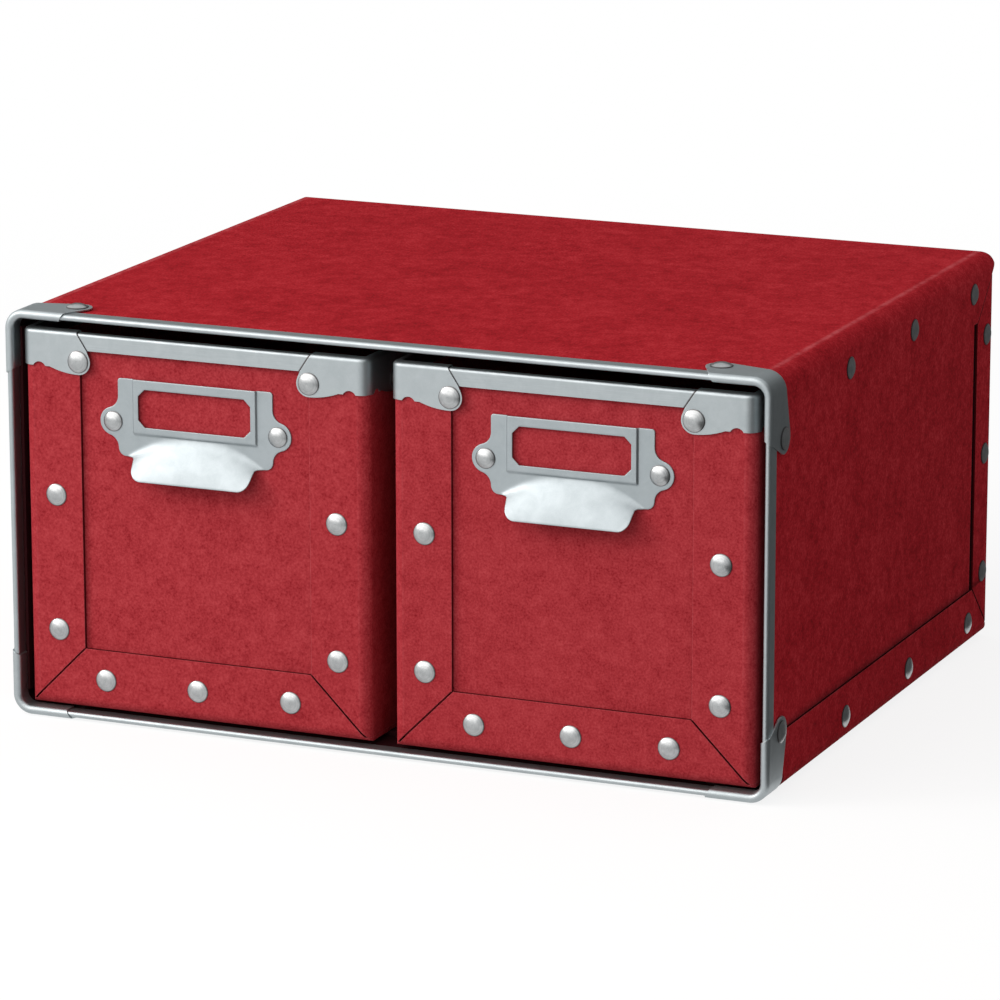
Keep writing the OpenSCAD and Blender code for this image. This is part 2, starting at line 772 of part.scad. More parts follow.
// Front view of the hood, inset by a margin except at its open lip
module hood_outline(margin) {
    w = hood_w / 2 - margin;
    lip = hood_lip_w / 2 - margin;
    r = hood_lip_r;
    corner = [lip - r, hood_z + r];
    edge = touch([w, hood_z + hood_end_h], corner, r, 1);
    for (side = [0, 1]) mirror([side, 0]) {
        polygon([
            [0, hood_z], [lip - r, hood_z], corner, edge, [w, hood_z + hood_end_h],
            [w, hood_z + hood_h], [0, hood_z + hood_h]
        ]);
        translate(corner) circle(r);
    }
}

// Turned body of the hood, about the line at (hood_back, hood_z) behind the plate
module hood_turned(margin) translate([0, hood_back, hood_z]) rotate([0, 90, 0])
    rotate_extrude() intersection() {
        translate([hood_r - hood_arc_r, 0]) circle(hood_arc_r - margin);
        rect([0, -hood_w], [hood_r, hood_w]);
    }

module hood(margin) intersection() {
    hood_turned(margin);
    along_y(-hood_r, margin) hood_outline(margin);
}

// Stamped plate with a label frame and a finger hood, its back on y = 0
module pull() color(bright) translate([0, panel_v - pull_t, 0]) difference() {
    union() {
        along_y(0, pull_t) plate_outline();
        along_y(-label_rise, pull_t) label_outline(0);
        hood(0);
    }
    along_y(pull_t - label_rise, pull_t + CUT) label_outline(pull_t);
    along_y(-CUT - label_rise, pull_t + CUT) window_outline();
    hood(pull_t);
    for (at = pull_rivets) on_front(at[0], 0, at[1]) rivet_hole(pull_t);
}

// Drawer rivets -----------------------------------------------------------------

module rivets_end() color(bright) {
    for (at = concat(low_rivets, flap_rivets)) on_front(at[0], 0, at[1]) rivet(stack);
    for (at = cap_rivets) on_front(at[0], -face_n, at[1]) rivet(stack + face_n);
}

module rivets_sides() color(bright) for (side = [LEFT, RIGHT], y = [cap_rivet_in, drawer_d - cap_rivet_in])
    on_side(side, drawer_x + face_n, y, cap_rivet_z) rivet(board_t + face_n);

module rivets_pull() color(bright)
    for (at = pull_rivets) on_front(at[0], panel_v - pull_t, at[1]) rivet(board_t + pull_t, d = pull_head_d);

module at_drawer(side) translate([side * drawer_pitch / 2, front_y + drawer_setback, 0]) children();

// Turns a piece of the front round to the back
module at_end(end) translate([0, end * drawer_d, 0]) mirror([0, end, 0]) children();

// Nodes ---------------------------------------------------------------------------

sleeve();
base();
back();
floor_liner();
rail_top();
rail_bottom();
rivets_back();
rivets_corners();
for (s = SIDES) {
    liner(s[1]);
    rail_side(s[1]);
    corner(s[1], TOP);
    corner(s[1], BOTTOM);
    rivets_side(s[1]);
}
for (d = SIDES) {
    at_drawer(d[1]) tray();
    at_drawer(d[1]) pull();
    at_drawer(d[1]) rivets_pull();
    at_drawer(d[1]) rivets_sides();
    for (s = SIDES) {
        at_drawer(d[1]) drawer_side(s[1]);
        at_drawer(d[1]) rim_side(s[1]);
    }
    for (e = ENDS) {
        at_drawer(d[1]) at_end(e[1]) drawer_panel(e[1]);
        at_drawer(d[1]) at_end(e[1]) rim_end();
        at_drawer(d[1]) at_end(e[1]) rivets_end();
        for (s = SIDES)
            at_drawer(d[1]) at_end(e[1]) cap(s[1]);
    }
}
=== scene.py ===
"""Looks of a tabletop chest with two drawers: red fibreboard, satin metal trim and domed rivets.

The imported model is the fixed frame. Its boards, channels, rims, caps and corner pieces keep their
solids and get procedural materials. The rivets and the label pulls are modelled here in more detail
and replace their plain solids. Lengths are in metres, except where a comment says millimetres.
"""

import json
import math

import bmesh
import bpy
import numpy as np
from mathutils import Matrix, Quaternion, Vector
from mathutils.geometry import delaunay_2d_cdt

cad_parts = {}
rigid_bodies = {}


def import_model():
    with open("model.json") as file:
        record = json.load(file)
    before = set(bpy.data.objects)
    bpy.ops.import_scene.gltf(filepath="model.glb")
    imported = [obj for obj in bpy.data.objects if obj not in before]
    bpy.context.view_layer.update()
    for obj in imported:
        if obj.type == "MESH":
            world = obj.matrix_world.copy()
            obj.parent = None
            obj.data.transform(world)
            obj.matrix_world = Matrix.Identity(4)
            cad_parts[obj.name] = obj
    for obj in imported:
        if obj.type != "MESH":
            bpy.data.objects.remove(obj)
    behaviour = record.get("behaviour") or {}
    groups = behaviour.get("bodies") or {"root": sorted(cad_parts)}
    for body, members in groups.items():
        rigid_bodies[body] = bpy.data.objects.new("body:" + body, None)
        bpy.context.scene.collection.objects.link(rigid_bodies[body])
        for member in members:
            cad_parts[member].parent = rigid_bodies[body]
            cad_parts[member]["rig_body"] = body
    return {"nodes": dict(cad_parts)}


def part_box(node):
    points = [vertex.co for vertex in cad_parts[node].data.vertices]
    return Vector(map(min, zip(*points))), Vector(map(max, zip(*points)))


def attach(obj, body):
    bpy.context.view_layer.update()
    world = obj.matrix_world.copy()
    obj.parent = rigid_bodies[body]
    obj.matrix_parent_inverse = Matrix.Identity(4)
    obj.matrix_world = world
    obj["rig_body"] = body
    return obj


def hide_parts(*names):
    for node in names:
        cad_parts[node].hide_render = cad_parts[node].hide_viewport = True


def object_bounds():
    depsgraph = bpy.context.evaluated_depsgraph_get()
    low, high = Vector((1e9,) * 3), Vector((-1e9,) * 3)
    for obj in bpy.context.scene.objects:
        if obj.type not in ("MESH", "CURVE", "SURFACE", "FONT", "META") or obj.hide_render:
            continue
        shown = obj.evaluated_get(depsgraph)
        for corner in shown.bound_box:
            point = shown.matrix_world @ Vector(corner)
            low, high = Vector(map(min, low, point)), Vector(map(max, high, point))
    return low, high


MM = 0.001

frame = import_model()
nodes = frame["nodes"]
cad_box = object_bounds()

DRAWERS = ("left", "right")
BOARD = 1.6 * MM
CABINET_FOLD = 7 * MM
DRAWER_FOLD = 4.2 * MM
SEAM_Z = 25.3 * MM
SEAM_SHADE_H = 5 * MM
FOLD_HIGHLIGHT_W = 4 * MM
CAP_TOP = 23.6 * MM
CAP_LOW = 28.1 * MM
RIM_H = 6.8 * MM


def joined(*names):
    """The box round several nodes."""
    boxes = [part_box(n) for n in names]
    return tuple(Vector(f(b[i][k] for b in boxes) for k in range(3)) for i, f in ((0, min), (1, max)))


# Shader graphs ---------------------------------------------------------------------


class Graph:
    """A node tree with one short call for each kind of node."""

    def __init__(self, tree):
        self.tree = tree
        tree.nodes.clear()

    def node(self, kind, **settings):
        node = self.tree.nodes.new("ShaderNode" + kind)
        for name, value in settings.items():
            setattr(node, name, value)
        return node

    def put(self, value, socket):
        """Sets a socket to a value, or links another node's output to it."""
        if isinstance(value, bpy.types.NodeSocket):
            self.tree.links.new(value, socket)
        else:
            socket.default_value = value

    def math(self, operation, a, b=0.0):
        node = self.node("Math", operation=operation)
        self.put(a, node.inputs[0])
        self.put(b, node.inputs[1])
        return node.outputs[0]

    def total(self, *values):
        sum_so_far = values[0]
        for value in values[1:]:
            sum_so_far = self.math("ADD", sum_so_far, value)
        return sum_so_far

    def product(self, *values):
        so_far = values[0]
        for value in values[1:]:
            so_far = self.math("MULTIPLY", so_far, value)
        return so_far

    def remap(self, value, low, high, to_low=0.0, to_high=1.0, smooth=False):
        kind = "SMOOTHSTEP" if smooth else "LINEAR"
        node = self.node("MapRange", interpolation_type=kind)
        for socket, given in zip(node.inputs[:5], (value, low, high, to_low, to_high)):
            self.put(given, socket)
        return node.outputs[0]

    def mix(self, share, a, b):
        node = self.node("Mix", data_type="RGBA")
        self.put(share, node.inputs["Factor"])
        self.put(a, node.inputs[6])
        self.put(b, node.inputs[7])
        return node.outputs[2]

    def ramp(self, value, places, colours):
        """A colour that runs from one of the colours to the next as the value passes the places."""
        node = self.node("ValToRGB")
        elements = node.color_ramp.elements
        while len(elements) < len(places):
            elements.new(0.5)
        for element, place, colour in zip(elements, places, colours):
            element.position = place
            element.color = colour
        self.put(value, node.inputs[0])
        return node.outputs[0]

    def place(self, stretch=(1, 1, 1), move=(0, 0, 0)):
        """The point on the piece, stretched and moved."""
        coordinates = self.node("TexCoord")
        mapping = self.node("Mapping")
        self.put(coordinates.outputs["Object"], mapping.inputs["Vector"])
        self.put(stretch, mapping.inputs["Scale"])
        self.put(move, mapping.inputs["Location"])
        return mapping.outputs[0]

    def axes(self):
        split = self.node("SeparateXYZ")
        self.put(self.node("TexCoord").outputs["Object"], split.inputs[0])
        return split.outputs

    def combine(self, x, y, z=0.0):
        node = self.node("CombineXYZ")
        for socket, given in zip(node.inputs, (x, y, z)):
            self.put(given, socket)
        return node.outputs[0]

    def length(self, vector):
        node = self.node("VectorMath", operation="LENGTH")
        self.put(vector, node.inputs[0])
        return node.outputs["Value"]

    def away(self, axis, middle):
        """Distance along an axis from its middle, without its sign."""
        return self.math("ABSOLUTE", self.math("SUBTRACT", self.axes()[axis], middle))

    def line(self, distance, width):
        """1 where the distance is 0, falling to 0 at half the width away."""
        return self.remap(self.math("ABSOLUTE", distance), 0, width / 2, 1, 0, smooth=True)

    def noise(self, vector, size, detail=2.0, roughness=0.5, distortion=0.0):
        """Noise from 0 to 1 whose spots are about size metres wide."""
        node = self.node("TexNoise")
        self.put(vector, node.inputs["Vector"])
        self.put(1 / size, node.inputs["Scale"])
        self.put(detail, node.inputs["Detail"])
        self.put(roughness, node.inputs["Roughness"])
        self.put(distortion, node.inputs["Distortion"])
        return node.outputs[0]

    def bump(self, height, depth, normal=None):
        """A bumped normal, where the height runs from 0 to 1 over depth metres."""
        node = self.node("Bump")
        self.put(height, node.inputs["Height"])
        self.put(depth, node.inputs["Distance"])
        if normal is not None:
            self.put(normal, node.inputs["Normal"])
        return node.outputs[0]

    def facing(self, axis):
        """How much the flat face turns along an axis, from 0 to 1."""
        split = self.node("SeparateXYZ")
        self.put(self.node("NewGeometry").outputs["True Normal"], split.inputs[0])
        return self.math("ABSOLUTE", split.outputs[axis])

    def soft_edges(self, radius):
        node = self.node("Bevel", samples=6)
        self.put(radius, node.inputs["Radius"])
        return node.outputs[0]

    def wear_and_highlight_edges(self, soft):
        """1 along sharp edges and 0 on flat faces, from the normal that soft_edges gives."""
        node = self.node("VectorMath", operation="DOT_PRODUCT")
        self.put(soft, node.inputs[0])
        self.put(self.node("NewGeometry").outputs["Normal"], node.inputs[1])
        return self.remap(node.outputs["Value"], 0.99, 0.88)


def new_material(name, **shader):
    """A material with a Principled shader, whose plain sockets are set by name."""
    material = bpy.data.materials.new(name)
    material.use_nodes = True
    graph = Graph(material.node_tree)
    bsdf = graph.node("BsdfPrincipled")
    output = graph.node("OutputMaterial")
    graph.put(bsdf.outputs[0], output.inputs["Surface"])
    for socket, value in shader.items():
        bsdf.inputs[socket.replace("_", " ")].default_value = value
    return material, graph, bsdf


# Board -----------------------------------------------------------------------------

CABINET_REDS = ((0.180, 0.0020, 0.0050, 1), (0.362, 0.0095, 0.0170, 1), (0.520, 0.0350, 0.0450, 1))
# The drawers' reds are paler and pinker than the cabinet's: partly their own tone, partly a painted sheen
# of the front light
DRAWER_REDS = ((0.240, 0.0110, 0.0170, 1), (0.385, 0.0340, 0.0430, 1), (0.490, 0.0600, 0.0700, 1))
# Paler red for worn edges and for painted highlights along edges and folds
WORN_AND_HIGHLIGHT_RED = (0.560, 0.150, 0.165, 1)
# Near black for cut edges (partly the board's dark core, partly painted shade) and for the painted shade
# above the side seams
CORE_AND_SHADE = (0.060, 0.002, 0.004, 1)
# Near-black inside boards: partly the lining's colour, partly painted shade for the dark gaps
LINING_AND_SHADE = (0.030, 0.006, 0.008, 1)
LINING_AND_SHADE_PALE = (0.055, 0.012, 0.015, 1)
SKIN = 1 * MM


def shell_depth(graph, low, high, radius):
    """How deep a point lies in a box along Y with rounded corners, as a negative number."""
    spans = []
    for axis in (0, 2):
        middle, half = (low[axis] + high[axis]) / 2, (high[axis] - low[axis]) / 2
        spans.append(graph.math("SUBTRACT", graph.away(axis, middle), half - radius))
    outer = graph.length(graph.combine(*(graph.math("MAXIMUM", span, 0.0) for span in spans)))
    inner = graph.math("MINIMUM", graph.math("MAXIMUM", *spans), 0.0)
    return graph.math("SUBTRACT", graph.math("ADD", outer, inner), radius)


def cut_edges(graph, axis, ends):
    """1 on the cut edges of the sheets that lie across an axis, at one of the two ends given."""
    across = graph.math("LESS_THAN", graph.facing(axis), 0.3)
    middle, half = (ends[0] + ends[1]) / 2, (ends[1] - ends[0]) / 2
    outer = graph.math("GREATER_THAN", graph.away(axis, middle), half - BOARD - 0.1 * MM)
    return graph.product(across, outer)


def board_material(name, reds, grain_size, cloud_share, seed):
    """Pressed fibreboard, dyed red, with grain, mottle and clouds, and paler along its edges, partly as
    wear and partly as a painted highlight.
    """
    material, graph, bsdf = new_material(name, IOR=1.5, Specular_IOR_Level=0.05)
    point = graph.place(move=(seed, 0.37 * seed, 0.61 * seed))
    grain = graph.noise(point, grain_size, 2, 0.6)
    mottle = graph.noise(point, 5 * grain_size, 3, 0.6, 0.3)
    cloud = graph.noise(point, 22 * MM, 3, 0.6, 0.4)
    tone = graph.total(
        graph.remap(grain, 0.2, 0.8, 0.08, 0.92),
        graph.remap(mottle, 0.2, 0.8, -0.24, 0.24),
        graph.remap(cloud, 0.2, 0.8, -cloud_share, cloud_share),
    )
    colour = graph.ramp(tone, (0.0, 0.5, 1.0), reds)
    soft = graph.soft_edges(0.45 * MM)
    # Paler edges: partly wear, partly a painted highlight where the edges would catch the light
    edge = graph.product(graph.wear_and_highlight_edges(soft), graph.remap(mottle, 0.3, 0.7, 0.15, 0.6))
    colour = graph.mix(edge, colour, WORN_AND_HIGHLIGHT_RED)
    graph.put(graph.remap(grain, 0.3, 0.7, 0.78, 0.9), bsdf.inputs["Roughness"])
    relief = graph.total(graph.product(grain, 0.6), graph.product(mottle, 0.4))
    graph.put(graph.bump(relief, 0.06 * MM, soft), bsdf.inputs["Normal"])
    return material, graph, bsdf, colour, mottle


def cabinet_material():
    """The cabinet's board: near black inside, partly lining and partly painted shade, with a painted
    highlight where each long fold starts.
    """
    low, high = joined("sleeve", "base", "back")
    board = board_material("red_board_cabinet", CABINET_REDS, 0.95 * MM, 0.16, 3.1)
    material, graph, bsdf, colour, mottle = board
    # A painted highlight: a patchy paler line on the top along where each long fold starts
    crease = graph.math("SUBTRACT", graph.away(0, 0.0), high.x - CABINET_FOLD)
    on_top = graph.math("GREATER_THAN", graph.axes()[2], high.z - 0.6 * MM)
    patchy = graph.remap(mottle, 0.35, 0.65, 0.1, 0.4)
    fold_highlight = graph.product(graph.line(crease, FOLD_HIGHLIGHT_W), on_top, patchy)
    colour = graph.mix(fold_highlight, colour, WORN_AND_HIGHLIGHT_RED)
    depth = shell_depth(graph, low, high, CABINET_FOLD)
    # Painted shade: the sides darken just above the base flap's seam, as under a soft shadow
    above = graph.math("SUBTRACT", graph.axes()[2], SEAM_Z)
    fading = graph.remap(above, 0, SEAM_SHADE_H, 1, 0)
    shade = graph.product(fading, fading, graph.math("GREATER_THAN", above, 0.0))
    on_side = graph.math("GREATER_THAN", graph.facing(0), 0.7)
    colour = graph.mix(graph.product(shade, on_side, 0.75), colour, CORE_AND_SHADE)
    # Cut edges painted near black: partly the board's darker core, partly painted shade
    middle, half = (low.z + high.z) / 2, (high.z - low.z) / 2
    off_top = graph.math("LESS_THAN", graph.away(2, middle), half - 2 * MM)
    cut = graph.product(cut_edges(graph, 0, (low.x, high.x)), off_top)
    colour = graph.mix(graph.product(cut, 0.9), colour, CORE_AND_SHADE)
    # Inside the shell the board is painted near black: partly lining, partly painted shade
    skin = graph.math("LESS_THAN", depth, -0.5 * BOARD)
    lined_and_shaded = graph.product(skin, graph.math("LESS_THAN", graph.axes()[1], high.y - 1.5 * BOARD))
    graph.put(graph.mix(lined_and_shaded, colour, LINING_AND_SHADE), bsdf.inputs["Base Color"])
    return material


def drawer_material(side, seed):
    """A drawer's board, with a faint painted highlight where each upright fold starts."""
    low, high = joined(side + "_tray", side + "_side_left", side + "_side_right")
    board = board_material("red_board_" + side, DRAWER_REDS, 0.9 * MM, 0.1, seed)
    material, graph, bsdf, colour, mottle = board
    flat = (high.x - low.x) / 2 - DRAWER_FOLD
    crease = graph.math("SUBTRACT", graph.away(0, (low.x + high.x) / 2), flat)
    # A painted highlight: a faint, patchy paler line where each upright fold starts
    crease_highlight = graph.product(graph.line(crease, 1.2 * MM), graph.remap(mottle, 0.35, 0.65, 0, 0.12))
    colour = graph.mix(crease_highlight, colour, WORN_AND_HIGHLIGHT_RED)
    # Cut edges painted near black: partly the board's darker core, partly painted shade
    below_skin = graph.math("LESS_THAN", shell_depth(graph, low, high, DRAWER_FOLD), -SKIN)
    cut = graph.product(cut_edges(graph, 1, (low.y, high.y)), below_skin)
    graph.put(graph.mix(graph.product(cut, 0.9), colour, CORE_AND_SHADE), bsdf.inputs["Base Color"])
    return material


def lining_and_shade_material():
    """The dark boards behind the seams and under the drawers, whose near-black colour is partly painted
    shade.
    """
    material, graph, bsdf = new_material("dark_lining_and_shade", IOR=1.5, Specular_IOR_Level=0.05)
    grain = graph.noise(graph.place(), 2 * MM, 3, 0.6)
    graph.put(graph.mix(grain, LINING_AND_SHADE, LINING_AND_SHADE_PALE), bsdf.inputs["Base Color"])
    graph.put(graph.remap(grain, 0.3, 0.7, 0.75, 0.9), bsdf.inputs["Roughness"])
    graph.put(graph.bump(grain, 0.1 * MM), bsdf.inputs["Normal"])
    return material


# Metal -----------------------------------------------------------------------------

NICKEL = (0.430, 0.470, 0.485, 1)
NICKEL_DEEP = (0.350, 0.390, 0.405, 1)
PLATE = (0.375, 0.415, 0.435, 1)
PLATE_DEEP = (0.315, 0.355, 0.370, 1)
TURNED = (0.500, 0.515, 0.520, 1)
TURNED_DEEP = (0.300, 0.315, 0.320, 1)
BARE_AND_HIGHLIGHT_EDGE = (0.720, 0.740, 0.750, 1)
# Near black, painted shade for the seam beside each cap and the rim of each rivet head
PAINTED_SHADE = (0.060, 0.050, 0.050, 1)
SEAM_W = 1.1 * MM
TURNING = "turning"


def metal_material(name, colour, deep, roughness, along=None):
    """Satin plated steel, bright along its edges as wear and as a painted highlight, with fine lines along
    an axis if one is given.
    """
    material, graph, bsdf = new_material(name, Metallic=1.0)
    stretch = [1, 1, 1]
    if along is not None:
        stretch[along] = 0.02
    lines = graph.noise(graph.place(tuple(stretch)), 0.25 * MM, 3, 0.6)
    cloud = graph.noise(graph.place(), 7 * MM, 3, 0.6, 0.5)
    shade = graph.total(graph.remap(cloud, 0.3, 0.7, 0, 0.55), graph.remap(lines, 0.3, 0.7, 0, 0.45))
    soft = graph.soft_edges(0.2 * MM)
    # Bright edges: partly bare worn metal, partly a painted highlight
    bare_and_highlight = graph.product(graph.wear_and_highlight_edges(soft), 0.6)
    colour = graph.mix(bare_and_highlight, graph.mix(shade, colour, deep), BARE_AND_HIGHLIGHT_EDGE)
    graph.put(colour, bsdf.inputs["Base Color"])
    graph.put(graph.remap(shade, 0, 1, roughness - 0.04, roughness + 0.06), bsdf.inputs["Roughness"])
    graph.put(graph.bump(lines, 0.012 * MM, soft), bsdf.inputs["Normal"])
    return material, graph, bsdf, colour


def rim_material(side, axis):
    """A drawer's rim, with a dark line of painted shade beside the slanted seam of each cap."""
    name = f"channel_{side}_{'xyz'[axis]}"
    material, graph, bsdf, colour = metal_material(name, NICKEL, NICKEL_DEEP, 0.45, along=axis)
    low, high = joined(side + "_tray", side + "_rim_left")
    half = (high[axis] - low[axis]) / 2
    inward = graph.math("SUBTRACT", half, graph.away(axis, (low[axis] + high[axis]) / 2))
    drop = graph.math("SUBTRACT", high.z, graph.axes()[2])
    cap_end = graph.math("ADD", graph.product(drop, (CAP_LOW - CAP_TOP) / RIM_H), CAP_TOP)
    past_cap = graph.math("SUBTRACT", inward, cap_end)
    # Painted shade: a dark line on the rim just past each cap's slanted edge
    seam = graph.remap(past_cap, 0.5 * SEAM_W, SEAM_W, 0.94, 0, smooth=True)
    graph.put(graph.mix(seam, colour, PAINTED_SHADE), bsdf.inputs["Base Color"])
    return material


def turned_material():
    """Satin rivet heads with turning marks, with painted shade at the rim where they meet the board."""
    material, graph, bsdf = new_material("satin_rivet", Metallic=1.0)
    radius = graph.length(graph.node("UVMap", uv_map=TURNING).outputs[0])
    marks = graph.noise(graph.combine(radius, 0.0), 0.07, 3, 0.7)
    cloud = graph.noise(graph.place(), 2.5 * MM, 2, 0.6)
    shade = graph.total(graph.remap(marks, 0.35, 0.65, 0, 0.6), graph.remap(cloud, 0.35, 0.65, 0, 0.4))
    colour = graph.mix(shade, TURNED, TURNED_DEEP)
    # Painted shade: the head darkens towards its rim where it meets the board
    colour = graph.mix(graph.remap(radius, 0.88, 1.0, 0, 0.85, smooth=True), colour, PAINTED_SHADE)
    graph.put(colour, bsdf.inputs["Base Color"])
    graph.put(graph.remap(shade, 0, 1, 0.28, 0.36), bsdf.inputs["Roughness"])
    graph.put(graph.bump(marks, 0.03 * MM), bsdf.inputs["Normal"])
    return material


# Meshes ----------------------------------------------------------------------------


def add_piece(name, mesh, material, body, slot, *replaced):
    """Puts a mesh into the scene as a piece that rides a body and replaces CAD nodes."""
    piece = bpy.data.objects.new(name, mesh)
    bpy.context.scene.collection.objects.link(piece)
    mesh.materials.append(material)
    mesh.shade_smooth()
    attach(piece, body)
    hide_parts(*replaced)
    return piece


# Rivets ----------------------------------------------------------------------------

RIVET_SIDES = 40
DOME_RINGS = 9
DIMPLE_R = 0.5 * MM
DIMPLE_DEPTH = 0.08 * MM
SHANK_R = 1.5 * MM
TAIL_H = 0.6 * MM
TAIL_ROLL = 0.2 * MM
SKIRT_SHARE = 0.16


def rivet_solids(node):
    """The corners of each rivet in a node, as one array for each."""
    work = bmesh.new()
    work.from_mesh(nodes[node].data)
    bmesh.ops.remove_doubles(work, verts=work.verts, dist=0.001 * MM)
    left = set(work.verts)
    solids = []
    while left:
        group, queue = [], [left.pop()]
        while queue:
            vertex = queue.pop()
            group.append(vertex.co[:])
            for edge in vertex.link_edges:
                other = edge.other_vert(vertex)
                if other in left:
                    left.discard(other)
                    queue.append(other)
        solids.append(np.array(group))
    work.free()
    return sorted(solids, key=lambda s: tuple(s.mean(0).round(5)))


def rivet_sizes(points):
    """Reads a rivet's place, direction and sizes from its solid."""
    low, high = points.min(0), points.max(0)
    size = high - low
    axis = max(range(3), key=lambda i: min(abs(size[i] - size[j]) for j in range(3) if j != i))
    middle = (low + high) / 2
    across = np.delete(points - middle, axis, 1)
    radius = np.hypot(across[:, 0], across[:, 1])
    head_r = radius.max()
    base = points[radius > head_r - 0.01 * MM, axis].mean()
    way = 1 if high[axis] - base < base - low[axis] else -1
    top = high[axis] if way > 0 else low[axis]
    end = low[axis] if way > 0 else high[axis]
    centre = middle.copy()
    centre[axis] = base
    direction = Vector([way if i == axis else 0 for i in range(3)])
    tail_r = radius[np.abs(points[:, axis] - end) < 0.01 * MM].max()
    return Vector(centre), direction, head_r, abs(top - base), abs(base - end), tail_r


def rivet_section(head_r, head_h, length, tail_r):
    """Half section of a rivet: a dimpled dome with a short skirt, a shank and a rolled tail."""
    skirt = SKIRT_SHARE * head_h
    points = [(0, head_h - DIMPLE_DEPTH), (0.5 * DIMPLE_R, head_h - 0.7 * DIMPLE_DEPTH)]
    dome_h = head_h - skirt
    ball_r = (head_r**2 + dome_h**2) / (2 * dome_h)
    for k in range(DOME_RINGS + 1):
        radius = DIMPLE_R + (head_r - DIMPLE_R) * k / DOME_RINGS
        points.append((radius, head_h - ball_r + math.sqrt(ball_r**2 - radius**2)))
    points += [(head_r, 0.3 * skirt), (head_r - 0.1 * MM, 0), (SHANK_R, 0)]
    if tail_r > SHANK_R + 0.1 * MM:
        foot, roll = -length + TAIL_H, TAIL_ROLL
        points += [(SHANK_R, foot), (tail_r - roll, foot), (tail_r, foot - roll), (tail_r, -length + roll)]
        points += [(tail_r - roll, -length)]
    else:
        points += [(SHANK_R, -length)]
    return points + [(0, -length)]


def lathe(bm, turning, section, centre, direction):
    """Turns a section of (radius, height) points, whose first and last lie on the axis."""
    turn = direction.to_track_quat("Z", "Y").to_matrix().to_4x4()
    turn.translation = centre
    widest = max(radius for radius, _ in section)
    rings = []
    for radius, height in section:
        count = RIVET_SIDES if radius else 1
        angles = [2 * math.pi * k / RIVET_SIDES for k in range(count)]
        flat = [Vector((radius * math.cos(a), radius * math.sin(a), height)) for a in angles]
        rings.append([(bm.verts.new(turn @ p), p.xy / widest) for p in flat])
    for upper, lower in zip(rings, rings[1:]):
        for k in range(RIVET_SIDES):
            after = (k + 1) % RIVET_SIDES
            corners = [upper[k % len(upper)], lower[k % len(lower)]]
            corners += [lower[after % len(lower)], upper[after % len(upper)]]
            around = dict(corners)
            face = bm.faces.new(list(around))
            for loop in face.loops:
                loop[turning].uv = around[loop.vert]


def build_rivets(node, body, material):
    """Replaces a node's plain rivets with turned ones, of the sizes that its solids have."""
    bm = bmesh.new()
    turning = bm.loops.layers.uv.new(TURNING)
    for solid in rivet_solids(node):
        centre, direction, *sizes = rivet_sizes(solid)
        lathe(bm, turning, rivet_section(*sizes), centre, direction)
    bmesh.ops.recalc_face_normals(bm, faces=bm.faces)
    mesh = bpy.data.meshes.new("domed_" + node)
    bm.to_mesh(mesh)
    bm.free()
    piece = add_piece("domed_" + node, mesh, material, body, "rivet", node)
    mesh.set_sharp_from_angle(angle=math.radians(50))
    return piece


# Label pulls -----------------------------------------------------------------------
# Sizes in millimetres. X is counted from the plate's middle and Z from its lower edge.

PLATE_W = 67.0
PLATE_H = 31.2
PLATE_R = 1.2
PLATE_LOW_R = 3.2
EAR_X = 35.7
EAR_Z = 13.6
EAR_R = 5.7
HOLLOW_R = 5.0
LABEL_W = 54.0
LABEL_Z = 9.1
LABEL_RISE = 0.9
LABEL_RAMP = 0.6
WINDOW_W = 48.6
WINDOW_H = 15.2
WINDOW_LIFT = 3.2
WINDOW_CUT = 2.8
HOOD_W = 53.2
CROWN_W = 57.0
HOOD_DROP = 8.0
HOOD_H = 16.4
HOOD_OUT = 7.4
HOOD_BULGE = 0.35
HOOD_CORNER_X = 20.9
HOOD_CORNER_R = 4.9
HOOD_BLEND = 1.6
HOOD_NECK = 0.3
PULL_SHEET = 0.6
PULL_STEP = 0.6
HOOD_SAG = HOOD_H - HOOD_DROP
HOOD_CROWN_R = ((CROWN_W / 2) ** 2 + HOOD_SAG**2) / (2 * HOOD_SAG)


def arc(centre, radius, start, end, steps):
    """Points on an arc from start to end, in degrees."""
    angles = [math.radians(start + (end - start) * k / steps) for k in range(steps + 1)]
    return [(centre[0] + radius * math.cos(a), centre[1] + radius * math.sin(a)) for a in angles]


def pull_outline():
    """Outline of the plate, its ears and its hood."""
    half = PLATE_W / 2
    hollow_x = half + HOLLOW_R
    rise = math.sqrt((EAR_R + HOLLOW_R) ** 2 - (hollow_x - EAR_X) ** 2)
    lean = math.degrees(math.atan2(rise, hollow_x - EAR_X))
    right = arc((half - PLATE_R, PLATE_H - PLATE_R), PLATE_R, 90, 0, 4)
    right += arc((hollow_x, EAR_Z + rise), HOLLOW_R, 180, 180 + lean, 8)
    right += arc((EAR_X, EAR_Z), EAR_R, lean, -lean, 16)[1:-1]
    right += arc((hollow_x, EAR_Z - rise), HOLLOW_R, 180 - lean, 180, 8)
    right += arc((half - PLATE_LOW_R, PLATE_LOW_R), PLATE_LOW_R, 0, -90, 6)
    neck = HOOD_W / 2 - HOOD_NECK
    right += [(HOOD_W / 2 + 0.5, 0), (neck, -0.4)]
    corner = (HOOD_CORNER_X, HOOD_CORNER_R - HOOD_DROP)
    across, up = neck - corner[0], -2 * HOOD_NECK - corner[1]
    start = math.atan2(up, across) - math.acos(HOOD_CORNER_R / math.hypot(across, up))
    right += arc(corner, HOOD_CORNER_R, math.degrees(start), -90, 10)
    return right + [(-x, z) for x, z in reversed(right)]


